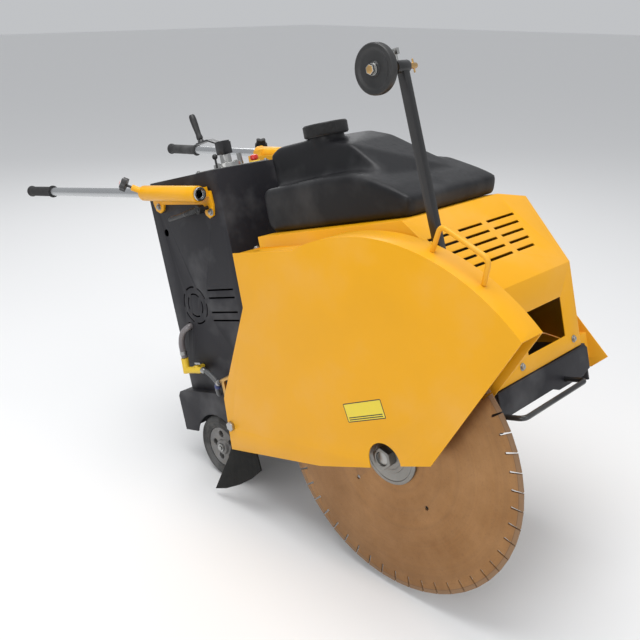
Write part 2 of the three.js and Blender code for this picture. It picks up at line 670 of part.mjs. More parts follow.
function buildWater() {
  const filler = [-218, 200];
  const neck = barZ(44, [735, 765], filler, 28);
  const outer = join(tankLower(0), tankUpper(0), neck);
  const hollow = join(tankLower(5), tankUpper(5));
  const tank = cut(outer, hollow, barZ(38, [725, 770], filler, 28));
  addPart('water_tank', tank, plastic);
  const skirt = barZ(57.5, [750, 777], filler, 36);
  addPart('tank_cap', cut(skirt, barZ(44 + 1, [745, 767], filler, 28)), plastic);

  const [runY, faceY] = [20, consoleY[0] - gap];
  const body = join(
    bar(11, [-802, runY, 196], [-806, runY, 150], 18),
    bar(10, [-806, runY, 158], [-722, runY, 163], 18),
    block([-766, -744], [runY, faceY], [150, 172]),
    barZ(7, [165, 176], [-745, runY], 14),
  );
  addPart('water_valve', cut(body, barZ(3 + gap, [168, 180], [-745, runY], 12)), brass);
  const stem = barZ(3, [168.5, 184], [-745, runY], 12);
  addPart('valve_handle', join(stem, block([-749, -722], grow([runY, runY], 5), [180, 186])), red);

  const upper = [[-773, 56, 289], [-773, 40, 288], [-790, 26, 272], [-802, 21, 240], [-801.5, runY, 197.5]];
  addPart('hose_upper', routed(upper, 9.5, 14), clearHose);
  const lower = [
    [-717, runY, 162], [-698, runY, 155], [-668, runY, 132], [-646, 12, 108], [-624, -8, 104], [-606, -22, 128],
    [-590, -25, 144.6], [-579, -25, 148.8],
  ];
  addPart('hose_lower', routed(lower, 7, 20), plastic);
  const pipe = routed([
    [-577.4, -25, 149.4], [-560, -25, 156], [-480, -25, 178], [-300, -25, 196], [-180, -25, 150],
  ], 6, 16);
  const clip = join(block([-572, -560], [-29, 23.6], [70, 76]), block([-572, -560], [-29, -21], [70, 152]));
  addPart('water_pipe', join(pipe, clip), brass);
}

buildFrame();
buildFront();
buildHood();
buildEngine();
buildBelts();
buildBlade();
buildGuard();
buildRear();
buildFrontAxle();
buildConsole();
buildControls();
buildHandle({
  side: 'right', face: consoleY[0], outward: -1, axisY: 8, centre: [-668, 681], pitch: radians(6.9), pushedIn: 0,
});
buildHandle({
  side: 'left', face: consoleY[1], outward: 1, axisY: 462, centre: [-668, 732], pitch: radians(10.1), pushedIn: 220,
});
buildGuide();
buildWater();

// Tip the machine onto its wheels and centre it over the floor
chassis.rotation.y = -noseUp;
machine.updateMatrixWorld(true);
const bounds = new THREE.Box3().setFromObject(machine, true);
const middle = bounds.getCenter(new THREE.Vector3());
chassis.position.set(-middle.x, -middle.y, -bounds.min.z);
machine.updateMatrixWorld(true);

export default machine;
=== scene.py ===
import json
import math
import bpy
from mathutils import Matrix, Vector

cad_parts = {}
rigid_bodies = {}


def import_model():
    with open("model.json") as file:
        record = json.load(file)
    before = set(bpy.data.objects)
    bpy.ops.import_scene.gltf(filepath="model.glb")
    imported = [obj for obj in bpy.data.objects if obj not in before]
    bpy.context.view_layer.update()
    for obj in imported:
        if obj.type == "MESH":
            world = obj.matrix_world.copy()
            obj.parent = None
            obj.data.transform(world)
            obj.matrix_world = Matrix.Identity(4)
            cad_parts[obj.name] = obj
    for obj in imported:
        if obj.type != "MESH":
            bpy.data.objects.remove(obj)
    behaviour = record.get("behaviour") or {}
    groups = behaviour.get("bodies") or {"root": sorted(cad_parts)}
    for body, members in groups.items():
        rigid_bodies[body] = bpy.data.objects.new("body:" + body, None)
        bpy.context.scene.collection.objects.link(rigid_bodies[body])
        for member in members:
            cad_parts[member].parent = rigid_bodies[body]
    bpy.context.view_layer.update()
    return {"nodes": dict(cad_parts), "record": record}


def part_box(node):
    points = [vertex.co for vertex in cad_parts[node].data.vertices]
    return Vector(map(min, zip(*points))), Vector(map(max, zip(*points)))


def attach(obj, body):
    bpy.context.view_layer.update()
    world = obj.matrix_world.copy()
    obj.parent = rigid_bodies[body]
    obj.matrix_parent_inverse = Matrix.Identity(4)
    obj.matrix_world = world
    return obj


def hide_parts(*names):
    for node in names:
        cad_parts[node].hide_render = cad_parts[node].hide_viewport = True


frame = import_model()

nodes = frame["nodes"]
bodyOf = {node: body for body, names in frame["record"]["behaviour"]["bodies"].items() for node in names}

# The chassis is drawn level with the blade's middle at its origin, then tipped nose-up.
noseUp = math.radians(15.3)
shaftLow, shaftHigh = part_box("spindle_shaft")
spindleAt = Vector(((shaftLow[0] + shaftHigh[0]) / 2, shaftLow[1] + 0.034, (shaftLow[2] + shaftHigh[2]) / 2))
chassisTurn = Matrix.Rotation(-noseUp, 4, "Y")
chassisPlace = Matrix.Translation(spindleAt) @ chassisTurn
mm = 0.001


def deselect():
    if bpy.context.object and bpy.context.object.mode != "OBJECT":
        bpy.ops.object.mode_set(mode="OBJECT")
    bpy.ops.object.select_all(action="DESELECT")


def choose(obj):
    deselect()
    obj.select_set(True)
    bpy.context.view_layer.objects.active = obj


def settle(obj, name, place=chassisPlace):  # bakes the object's place into its mesh
    obj.data.transform(place @ obj.matrix_world)
    obj.matrix_world = Matrix.Identity(4)
    obj.name = name
    obj.data.name = name
    return obj


def applyAll(obj):
    choose(obj)
    for modifier in list(obj.modifiers):
        bpy.ops.object.modifier_apply(modifier=modifier.name)


def smoothEdges(obj, angle=38):
    choose(obj)
    bpy.ops.object.shade_smooth_by_angle(angle=math.radians(angle))


def bevelled(obj, width, segments=2, angle=41):
    modifier = obj.modifiers.new("edge", "BEVEL")
    modifier.width = width * mm
    modifier.segments = segments
    modifier.limit_method = "ANGLE"
    modifier.angle_limit = math.radians(angle)
    modifier.miter_outer = "MITER_ARC"
    applyAll(obj)


# The faces of these nodes keep their triangles, because they are pierced by slots and holes.
perforated = ("console", "engine_hood", "blade", "rear_hub_right", "rear_hub_left")


def cleaned(obj, dissolve=True, limit=0.6):
    choose(obj)
    bpy.ops.object.mode_set(mode="EDIT")
    bpy.ops.mesh.select_all(action="SELECT")
    bpy.ops.mesh.remove_doubles(threshold=0.00002)
    if dissolve:
        bpy.ops.mesh.dissolve_limited(angle_limit=math.radians(limit))
    bpy.ops.object.mode_set(mode="OBJECT")


# a bevelled copy that stands for the node
def refined(node, material, edge=0.8, segments=2, angle=41, smooth=38):
    choose(nodes[node])
    bpy.ops.object.duplicate()
    piece = bpy.context.object
    bpy.ops.object.parent_clear(type="CLEAR_KEEP_TRANSFORM")
    piece.name = node + "_skin"
    cleaned(piece, node not in perforated)
    if edge:
        bevelled(piece, edge, segments, angle)
    smoothEdges(piece, smooth)
    return finished(piece, material, bodyOf[node], node)


def finished(piece, material, body, *replaced):
    piece.data.materials.clear()
    piece.data.materials.append(material)
    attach(piece, body)
    if replaced:
        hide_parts(*replaced)
    return piece


def recalculated(obj):
    choose(obj)
    bpy.ops.object.mode_set(mode="EDIT")
    bpy.ops.mesh.select_all(action="SELECT")
    bpy.ops.mesh.remove_doubles(threshold=0.00001)
    bpy.ops.mesh.normals_make_consistent(inside=False)
    bpy.ops.object.mode_set(mode="OBJECT")


# turns +Z to a direction and moves the origin to a start, both in chassis millimetres
def along(start, direction):
    turn = Vector(direction).normalized().to_track_quat("Z", "Y").to_matrix().to_4x4()
    return chassisPlace @ Matrix.Translation(Vector(start) * mm) @ turn


# spins a closed loop of (radius, distance) round its axis
def turned(name, profile, start, direction, steps=48, smooth=38):
    deselect()
    bpy.ops.mesh.primitive_circle_add(vertices=len(profile), radius=0.01)
    piece = bpy.context.object
    for vertex, (radius, distance) in zip(piece.data.vertices, profile):
        vertex.co = (max(radius, 0.0) * mm, 0, distance * mm)
    bpy.ops.object.mode_set(mode="EDIT")
    bpy.ops.mesh.select_all(action="SELECT")
    bpy.ops.mesh.spin(steps=steps, angle=2 * math.pi, center=(0, 0, 0), axis=(0, 0, 1))
    bpy.ops.object.mode_set(mode="OBJECT")
    recalculated(piece)
    smoothEdges(piece, smooth)
    return settle(piece, name, along(start, direction))


def rounded(points, bend, steps=6):  # a route whose corners are arcs
    route = [Vector(points[0])]
    for before, corner, after in zip(points, points[1:], points[2:]):
        before, corner, after = Vector(before), Vector(corner), Vector(after)
        back = (before - corner).normalized() * bend
        on = (after - corner).normalized() * bend
        for i in range(steps + 1):
            t = i / steps
            route.append(corner + back * (1 - t) ** 2 + on * t ** 2)
    route.append(Vector(points[-1]))
    return route


def tubed(name, route, radius, sides=6, smoothCurve=False):
    deselect()
    bpy.ops.curve.primitive_nurbs_path_add()
    curve = bpy.context.object
    curve.data.splines.clear()
    spline = curve.data.splines.new("NURBS" if smoothCurve else "POLY")
    spline.points.add(len(route) - 1)
    for point, place in zip(spline.points, route):
        point.co = (*(Vector(place) * mm), 1)
    if smoothCurve:
        spline.order_u = 4
        spline.use_endpoint_u = True
        spline.resolution_u = 6
    curve.data.dimensions = "3D"
    curve.data.bevel_depth = radius * mm
    curve.data.bevel_resolution = sides
    curve.data.use_fill_caps = True
    bpy.ops.object.convert(target="MESH")
    piece = bpy.context.object
    recalculated(piece)
    smoothEdges(piece, 50)
    return settle(piece, name)


def disc(vertices, radius, depth, lift, edge, segments):  # a short bevelled cylinder, all in millimetres
    bpy.ops.mesh.primitive_cylinder_add(vertices=vertices, radius=radius * mm, depth=depth * mm,
                                        location=(0, 0, lift * mm))
    bpy.ops.object.mode_set(mode="EDIT")
    bpy.ops.mesh.select_all(action="SELECT")
    bpy.ops.mesh.bevel(offset=edge * mm, segments=segments)
    bpy.ops.object.mode_set(mode="OBJECT")
    return bpy.context.object


# a hexagon head on a washer, standing on its start point
def bolt(start, direction, size=6.5, height=4.5, washer=8.5):
    under = 1.2  # the head sinks a little into its washer
    thick = 1.4
    deselect()
    head = disc(6, size, height, height / 2 + under, 0.7, 2)
    ring = disc(28, washer, thick, thick / 2, 0.3, 1)
    head.select_set(True)
    bpy.context.view_layer.objects.active = head
    ring.select_set(True)
    bpy.ops.object.join()
    smoothEdges(head, 30)
    return settle(head, "bolt", along(start, direction))


def joined(name, pieces):
    deselect()
    for piece in pieces:
        piece.select_set(True)
    bpy.context.view_layer.objects.active = pieces[0]
    bpy.ops.object.join()
    whole = bpy.context.object
    whole.name = name
    whole.data.name = name
    return whole


# Materials
def nodeGroup(name, inputs, outputs):
    group = bpy.data.node_groups.new(name, "ShaderNodeTree")
    for label, kind, value in inputs:
        socket = group.interface.new_socket(name=label, in_out="INPUT", socket_type=kind)
        socket.default_value = value
    for label, kind in outputs:
        group.interface.new_socket(name=label, in_out="OUTPUT", socket_type=kind)
    return group, group.nodes.new("NodeGroupInput"), group.nodes.new("NodeGroupOutput")


def noise(tree, vector, scale, detail=3, rough=0.55, stretch=None):
    if stretch:
        mapping = tree.nodes.new("ShaderNodeMapping")
        mapping.inputs["Scale"].default_value = stretch
        tree.links.new(vector, mapping.inputs["Vector"])
        vector = mapping.outputs[0]
    texture = tree.nodes.new("ShaderNodeTexNoise")
    tree.links.new(vector, texture.inputs["Vector"])
    if isinstance(scale, (int, float)):
        texture.inputs["Scale"].default_value = scale
    else:
        tree.links.new(scale, texture.inputs["Scale"])
    texture.inputs["Detail"].default_value = detail
    texture.inputs["Roughness"].default_value = rough
    return texture.outputs["Fac"]


def ranged(tree, value, low, high, toLow=0.0, toHigh=1.0):
    node = tree.nodes.new("ShaderNodeMapRange")
    node.inputs["From Min"].default_value = low
    node.inputs["From Max"].default_value = high
    node.inputs["To Min"].default_value = toLow
    node.inputs["To Max"].default_value = toHigh
    tree.links.new(value, node.inputs["Value"])
    return node.outputs[0]


def maths(tree, operation, a, b=None, clamp=False):
    node = tree.nodes.new("ShaderNodeMath")
    node.operation = operation
    node.use_clamp = clamp
    for socket, value in zip(node.inputs, (a, b)):
        if value is None:
            continue
        if isinstance(value, (int, float)):
            socket.default_value = value
        else:
            tree.links.new(value, socket)
    return node.outputs[0]


def blended(tree, factor, a, b):
    node = tree.nodes.new("ShaderNodeMix")
    node.data_type = "RGBA"
    for socket, value in ((node.inputs["Factor"], factor), (node.inputs["A"], a), (node.inputs["B"], b)):
        if isinstance(value, (int, float)):
            socket.default_value = value
        elif isinstance(value, (tuple, list)):
            socket.default_value = (*value[:3], 1)
        else:
            tree.links.new(value, socket)
    return node.outputs["Result"]


def makeSurfaceGroup():  # colour drift, dust that gathers low down, rubbed streaks and a fine skin
    group, entry, leave = nodeGroup("workSurface", [
        ("Colour", "NodeSocketColor", (0.5, 0.5, 0.5, 1)),
        ("Dust Colour", "NodeSocketColor", (0.35, 0.31, 0.26, 1)),
        ("Drift", "NodeSocketFloat", 0.08),
        ("Dust", "NodeSocketFloat", 0.2),
        ("Roughness", "NodeSocketFloat", 0.4),
        ("Streaks", "NodeSocketFloat", 0.3),
        ("Grain Scale", "NodeSocketFloat", 500.0),
        ("Grain", "NodeSocketFloat", 0.5),
    ], [("Colour", "NodeSocketColor"), ("Roughness", "NodeSocketFloat"), ("Height", "NodeSocketFloat")])
    coords = group.nodes.new("ShaderNodeTexCoord").outputs["Object"]
    cloud = noise(group, coords, 5.0, 4)
    speck = noise(group, coords, 60.0, 5, 0.7)
    streak = noise(group, coords, 90.0, 4, 0.6, (1.0, 1.0, 0.06))
    grain = noise(group, coords, entry.outputs["Grain Scale"], 2)
    drift = maths(group, "MULTIPLY", ranged(group, cloud, 0.3, 0.7, -1, 1), entry.outputs["Drift"])
    darker = maths(group, "MAXIMUM", drift, 0.0)
    lighter = maths(group, "MAXIMUM", maths(group, "MULTIPLY", drift, -1.0), 0.0)
    colour = blended(group, darker, entry.outputs["Colour"], (0, 0, 0))
    colour = blended(group, lighter, colour, (1, 1, 1))
    split = group.nodes.new("ShaderNodeSeparateXYZ")
    group.links.new(coords, split.inputs[0])
    low = ranged(group, split.outputs["Z"], 0.05, 0.75, 1.0, 0.25)
    dusty = maths(group, "MULTIPLY", ranged(group, speck, 0.46, 0.72), low)
    dusty = maths(group, "MULTIPLY", dusty, entry.outputs["Dust"], True)
    colour = blended(group, dusty, colour, entry.outputs["Dust Colour"])
    rubbed = maths(group, "MULTIPLY", ranged(group, streak, 0.5, 0.7), entry.outputs["Streaks"])
    rough = maths(group, "ADD", entry.outputs["Roughness"], maths(group, "MULTIPLY", rubbed, 0.18))
    rough = maths(group, "ADD", rough, maths(group, "MULTIPLY", dusty, 0.5))
    speckled = maths(group, "MULTIPLY", ranged(group, speck, 0.3, 0.7, -1, 1), 0.03)
    rough = maths(group, "ADD", rough, speckled, True)
    fine = maths(group, "MULTIPLY", grain, entry.outputs["Grain"])
    height = maths(group, "ADD", fine, maths(group, "MULTIPLY", cloud, 0.4))
    group.links.new(colour, leave.inputs["Colour"])
    group.links.new(rough, leave.inputs["Roughness"])
    group.links.new(height, leave.inputs["Height"])
    return group


def makeWornGroup():  # bare or chipped patches, used as a mask
    group, entry, leave = nodeGroup("wornPatches", [
        ("Scale", "NodeSocketFloat", 30.0),
        ("Amount", "NodeSocketFloat", 0.3),
    ], [("Mask", "NodeSocketFloat")])
    coords = group.nodes.new("ShaderNodeTexCoord").outputs["Object"]
    coarse = noise(group, coords, entry.outputs["Scale"], 6, 0.75)
    level = maths(group, "SUBTRACT", 0.78, maths(group, "MULTIPLY", entry.outputs["Amount"], 0.3))
    mask = maths(group, "MULTIPLY", maths(group, "SUBTRACT", coarse, level), 22.0, True)
    group.links.new(mask, leave.inputs["Mask"])
    return group


surfaceGroup = makeSurfaceGroup()
wornGroup = makeWornGroup()
groupInputs = {"drift": "Drift", "dust": "Dust", "roughness": "Roughness", "streaks": "Streaks",
               "grainScale": "Grain Scale", "grain": "Grain"}


def surface(name, settings):
    material = bpy.data.materials.new(name)
    material.use_nodes = True
    tree = material.node_tree
    shader = tree.nodes["Principled BSDF"]
    group = tree.nodes.new("ShaderNodeGroup")
    group.node_tree = surfaceGroup
    for key, label in groupInputs.items():
        if key in settings:
            group.inputs[label].default_value = settings[key]
    group.inputs["Colour"].default_value = (*settings["colour"], 1)
    if "dustColour" in settings:
        group.inputs["Dust Colour"].default_value = (*settings["dustColour"], 1)
    shader.inputs["Metallic"].default_value = settings.get("metallic", 0.0)
    shader.inputs["Coat Weight"].default_value = settings.get("coat", 0.0)
    shader.inputs["Coat Roughness"].default_value = settings.get("coatRoughness", 0.1)
    shader.inputs["Specular IOR Level"].default_value = settings.get("specular", 0.5)
    colour = group.outputs["Colour"]
    if settings.get("chips"):
        worn = tree.nodes.new("ShaderNodeGroup")
        worn.node_tree = wornGroup
        worn.inputs["Scale"].default_value = settings.get("chipScale", 35.0)
        worn.inputs["Amount"].default_value = settings["chips"]
        bare = settings.get("chipColour", (0.2, 0.19, 0.18))
        colour = blended(tree, worn.outputs["Mask"], colour, bare)
    tree.links.new(colour, shader.inputs["Base Color"])
    tree.links.new(group.outputs["Roughness"], shader.inputs["Roughness"])
    bump = tree.nodes.new("ShaderNodeBump")
    bump.inputs["Strength"].default_value = settings.get("bump", 0.25)
    bump.inputs["Distance"].default_value = settings.get("bumpDepth", 0.0004)
    tree.links.new(group.outputs["Height"], bump.inputs["Height"])
    tree.links.new(bump.outputs[0], shader.inputs["Normal"])
    return material


yellowPaint = surface("yellowEnamel", {
    "colour": (0.82, 0.385, 0.004), "specular": 0.26, "roughness": 0.38, "drift": 0.03, "dust": 0.03,
    "streaks": 0.12, "grainScale": 300.0, "grain": 0.3, "bump": 0.12, "coat": 0.1, "coatRoughness": 0.2,
})
charcoalPaint = surface("charcoalPowderCoat", {
    "colour": (0.015, 0.0145, 0.0185), "specular": 0.3, "roughness": 0.5, "drift": 0.06, "dust": 0.05,
    "streaks": 0.15, "grainScale": 900.0, "grain": 0.9, "bump": 0.3, "dustColour": (0.2, 0.18, 0.16),
})
blackPaint = surface("blackGlossPaint", {
    "colour": (0.008, 0.008, 0.009), "roughness": 0.34, "drift": 0.04, "dust": 0.04, "streaks": 0.2,
    "grainScale": 400.0, "coat": 0.2, "chips": 0.2,
})
tankPlastic = surface("mouldedTankPlastic", {
    "colour": (0.006, 0.006, 0.0075), "specular": 0.32, "roughness": 0.42, "drift": 0.03, "dust": 0.04,
    "streaks": 0.3, "grainScale": 700.0, "grain": 1.0, "bump": 0.35, "dustColour": (0.16, 0.16, 0.17),
})
blackPlastic = surface("blackPlastic", {
    "colour": (0.009, 0.009, 0.0095), "roughness": 0.42, "drift": 0.03, "dust": 0.06,
    "grainScale": 1200.0, "grain": 0.7,
})
gripRubber = surface("gripRubber", {
    "colour": (0.02, 0.02, 0.021), "roughness": 0.7, "drift": 0.08, "dust": 0.12, "grainScale": 1500.0,
    "grain": 1.2, "bump": 0.4,
})
flapRubber = surface("flapRubber", {
    "colour": (0.005, 0.005, 0.0045), "specular": 0.22, "roughness": 0.66, "drift": 0.1, "dust": 0.1,
    "grainScale": 260.0, "grain": 1.4, "bump": 0.5, "dustColour": (0.12, 0.11, 0.1),
})
tyreRubber = surface("tyreRubber", {
    "colour": (0.022, 0.022, 0.021), "roughness": 0.75, "drift": 0.12, "dust": 0.35,
    "grainScale": 700.0, "grain": 1.3, "bump": 0.5, "dustColour": (0.2, 0.18, 0.16),
})
zincSteel = surface("zincPlate", {
    "colour": (0.42, 0.42, 0.41), "roughness": 0.32, "metallic": 1.0, "drift": 0.12, "dust": 0.15,
    "streaks": 0.5, "grainScale": 900.0, "grain": 0.5, "bump": 0.15,
})
tubeSteel = surface("drawnTube", {
    "colour": (0.5, 0.51, 0.52), "roughness": 0.27, "metallic": 1.0, "drift": 0.04, "dust": 0.03,
    "streaks": 0.0, "grainScale": 250.0, "grain": 0.1, "bump": 0.01,
})
turnedSteel = surface("turnedSteel", {
    "colour": (0.27, 0.265, 0.25), "roughness": 0.36, "metallic": 0.95, "drift": 0.16, "dust": 0.2,
    "streaks": 0.4, "grainScale": 500.0, "grain": 0.8, "bump": 0.2, "chips": 0.2,
    "chipColour": (0.12, 0.09, 0.07),
})
castMetal = surface("castMetal", {
    "colour": (0.2, 0.195, 0.19), "roughness": 0.55, "metallic": 0.8, "drift": 0.15, "dust": 0.4,
    "grainScale": 240.0, "grain": 1.5, "bump": 0.5,
})
engineAlloy = surface("sandCastAlloy", {
    "colour": (0.34, 0.34, 0.34), "roughness": 0.5, "metallic": 0.85, "drift": 0.12, "dust": 0.35,
    "grainScale": 300.0, "grain": 1.4, "bump": 0.5,
})
yellowZinc = surface("yellowZinc", {
    "colour": (0.62, 0.38, 0.13), "roughness": 0.32, "metallic": 1.0, "drift": 0.15, "dust": 0.1,
    "grainScale": 600.0, "grain": 0.6,
})
yellowPlastic = surface("yellowPlastic", {
    "colour": (0.78, 0.52, 0.03), "roughness": 0.4, "drift": 0.05, "dust": 0.15, "grainScale": 700.0,
    "grain": 0.5,
})
bluePlastic = surface("bluePlastic", {
    "colour": (0.02, 0.035, 0.16), "roughness": 0.4, "drift": 0.05, "dust": 0.15, "grainScale": 700.0,
    "grain": 0.4,
})
redPlastic = surface("redPlastic", {
    "colour": (0.62, 0.025, 0.015), "roughness": 0.3, "drift": 0.04, "dust": 0.05, "grainScale": 800.0,
    "grain": 0.4, "coat": 0.2,
})
whitePlastic = surface("whitePlastic", {
    "colour": (0.7, 0.7, 0.68), "roughness": 0.4, "drift": 0.04, "dust": 0.1, "grainScale": 800.0,
    "grain": 0.4,
})
greyHose = surface("greyHose", {
    "colour": (0.1, 0.105, 0.11), "roughness": 0.35, "drift": 0.12, "dust": 0.2, "grainScale": 500.0,
    "grain": 0.5,
})
labelFilm = surface("labelFilm", {
    "colour": (0.8, 0.62, 0.02), "roughness": 0.3, "drift": 0.03, "dust": 0.08, "grainScale": 900.0,
    "grain": 0.2, "coat": 0.3,
})
labelInk = surface("labelInk", {
    "colour": (0.01, 0.01, 0.01), "roughness": 0.35, "drift": 0.03, "dust": 0.05, "grainScale": 900.0,
    "grain": 0.2,
})
beltRubber = surface("beltRubber", {
    "colour": (0.015, 0.015, 0.016), "roughness": 0.7, "drift": 0.1, "dust": 0.3, "grainScale": 1000.0,
    "grain": 1.2, "bump": 0.4,
})


# fine turned rings round the spindle, dark pits and a greyer, rougher segment rim
def makeBladeLacquer():
    settings = {
        "core": (0.3, 0.15, 0.055), "bright": (0.4, 0.215, 0.09), "rim": (0.33, 0.22, 0.14),
        "dark": (0.1, 0.07, 0.05), "metallic": 0.75, "bump": 0.25, "bumpDepth": 0.0003,
        "rimStart": (0.3395, 0.3405), "seamStart": (0.3380, 0.3392), "seamEnd": (0.3396, 0.3408),
    }
    material = bpy.data.materials.new("bladeLacquer")
    material.use_nodes = True
    tree = material.node_tree
    shader = tree.nodes["Principled BSDF"]
    coords = tree.nodes.new("ShaderNodeTexCoord").outputs["Object"]
    centred = tree.nodes.new("ShaderNodeMapping")
    centred.inputs["Location"].default_value = (-spindleAt.x, -spindleAt.y, -spindleAt.z)
    tree.links.new(coords, centred.inputs["Vector"])
    split = tree.nodes.new("ShaderNodeSeparateXYZ")
    tree.links.new(centred.outputs[0], split.inputs[0])
    across = maths(tree, "MULTIPLY", split.outputs["X"], split.outputs["X"])
    upward = maths(tree, "MULTIPLY", split.outputs["Z"], split.outputs["Z"])
    radius = maths(tree, "SQRT", maths(tree, "ADD", across, upward))
    rings = tree.nodes.new("ShaderNodeCombineXYZ")
    tree.links.new(radius, rings.inputs["X"])
    fine = noise(tree, rings.outputs[0], 1800.0, 3, 0.7)
    broad = noise(tree, rings.outputs[0], 60.0, 3, 0.6)
    cloud = noise(tree, centred.outputs[0], 7.0, 5, 0.65)
    speck = noise(tree, centred.outputs[0], 260.0, 4, 0.7)
    colour = blended(tree, ranged(tree, cloud, 0.35, 0.7), settings["core"], settings["bright"])
    turnedRings = maths(tree, "MULTIPLY", ranged(tree, broad, 0.4, 0.7), 0.16)
    colour = blended(tree, turnedRings, colour, settings["dark"])
    pits = maths(tree, "MULTIPLY", ranged(tree, speck, 0.55, 0.75), 0.35)
    colour = blended(tree, pits, colour, settings["dark"])
    rimMask = ranged(tree, radius, *settings["rimStart"])
    colour = blended(tree, maths(tree, "MULTIPLY", rimMask, 0.75), colour, settings["rim"])
    inside = maths(tree, "SUBTRACT", 1.0, ranged(tree, radius, *settings["seamEnd"]))
    seam = maths(tree, "MULTIPLY", ranged(tree, radius, *settings["seamStart"]), inside)
    colour = blended(tree, maths(tree, "MULTIPLY", seam, 0.5), colour, settings["dark"])
    tree.links.new(colour, shader.inputs["Base Color"])
    shader.inputs["Metallic"].default_value = settings["metallic"]
    rimRough = maths(tree, "MULTIPLY", rimMask, 0.25)
    rough = maths(tree, "ADD", ranged(tree, fine, 0.3, 0.7, 0.36, 0.5), rimRough)
    tree.links.new(rough, shader.inputs["Roughness"])
    bump = tree.nodes.new("ShaderNodeBump")
    bump.inputs["Strength"].default_value = settings["bump"]
    bump.inputs["Distance"].default_value = settings["bumpDepth"]
    grit = maths(tree, "MULTIPLY", maths(tree, "MULTIPLY", speck, rimMask), 3.0)
    tree.links.new(maths(tree, "ADD", fine, grit), bump.inputs["Height"])
    tree.links.new(bump.outputs[0], shader.inputs["Normal"])
    return material


bladeLacquer = makeBladeLacquer()
clearHose = surface("clearBraidedHose", {
    "colour": (0.15, 0.135, 0.14), "roughness": 0.22, "drift": 0.15, "dust": 0.2, "grainScale": 300.0,
    "grain": 0.8, "coat": 0.5, "coatRoughness": 0.08,
})
print("materials ready")


# Folded sheet, frame and castings: bevelled skins over the CAD solids, as (material, edge, segments)
skins = {
    "engine_hood": (yellowPaint, 1.3, 3), "blade_guard": (yellowPaint, 1.2, 3),
    "belt_cover": (yellowPaint, 1.3, 2), "handle_sleeve_right": (yellowPaint, 0.9, 2),
    "handle_sleeve_left": (yellowPaint, 0.9, 2), "main_frame": (charcoalPaint, 1.0, 2),
    "front_bumper": (charcoalPaint, 2.6, 4), "rear_box": (charcoalPaint, 1.6, 3),
    "console": (charcoalPaint, 1.2, 3), "spindle_carrier": (charcoalPaint, 0.8, 2),
    "front_yoke": (charcoalPaint, 0.8, 2), "guide_arm": (blackPaint, 1.0, 2),
    "engine_block": (engineAlloy, 2.0, 2), "muffler": (castMetal, 1.2, 2),
    "engine_shaft": (zincSteel, 0.8, 1), "spindle_shaft": (zincSteel, 0.8, 2),
    "rear_axle": (zincSteel, 0.8, 1), "inner_flange": (turnedSteel, 0.7, 2),
    "spindle_nut": (turnedSteel, 2.0, 3), "guard_pivot_bolt": (zincSteel, 0.8, 2),
    "bearing_block_right": (castMetal, 1.5, 2), "bearing_block_left": (castMetal, 1.5, 2),
    "spindle_pulley": (castMetal, 0.4, 1), "engine_pulley": (castMetal, 0.4, 1),
    "drive_belts": (beltRubber, 0.6, 1), "blade": (bladeLacquer, 0, 1),
    "splash_flap": (flapRubber, 0.9, 2), "rear_hub_right": (castMetal, 1.0, 2),
    "rear_hub_left": (castMetal, 1.0, 2), "control_plate": (zincSteel, 0.7, 2),
    "crank_handle": (blackPaint, 0.8, 2), "ignition_key": (zincSteel, 0.5, 2),
    "throttle_lever": (blackPlastic, 0.0, 1), "star_knob_right": (blackPlastic, 1.4, 3),
    "star_knob_left": (blackPlastic, 1.4, 3), "guide_thumbscrew": (zincSteel, 0.5, 2),
    "guide_rod": (yellowZinc, 0.5, 2), "water_valve": (yellowPlastic, 0.8, 2),
    "valve_handle": (zincSteel, 0.5, 2), "water_pipe": (yellowZinc, 0.4, 1),
}
for node, (material, edge, segments) in skins.items():
    refined(node, material, edge, segments)
print("skins ready")


# Water tank: two moulded lumps grown into one skin
tank = {
    "lower": [(-373, 531), (-387, 551), (-384, 638), (-374, 644), (-179, 650), (-71, 648), (-22, 638),
              (52, 604), (105, 570), (92, 531)],
    "lowerSides": (90, 440), "middle": (-140, 590), "tuck": 8, "shoulder": 10,
    "upper": [(-386, 152, 600), (-386, 392, 600), (30, 152, 600), (50, 392, 600), (-398, 156, 727),
              (-398, 392, 727), (-371, 166, 745), (-371, 378, 745), (-262, 166, 747), (-226, 378, 745),
              (-107, 158, 716), (-163, 386, 724), (-117, 390, 693)],
    "voxel": 4.5, "smoothing": 34, "neckAt": (-218, 200, 738), "neckRadius": 44, "neckDepth": 50,
}


def hullOf(points):
    deselect()
    bpy.ops.mesh.primitive_circle_add(vertices=max(3, len(points)), radius=0.01)
    lump = bpy.context.object
    for vertex, place in zip(lump.data.vertices, points):
        vertex.co = Vector(place) * mm
    bpy.ops.object.mode_set(mode="EDIT")
    bpy.ops.mesh.select_all(action="SELECT")
    bpy.ops.mesh.convex_hull()
    bpy.ops.object.mode_set(mode="OBJECT")
    return lump


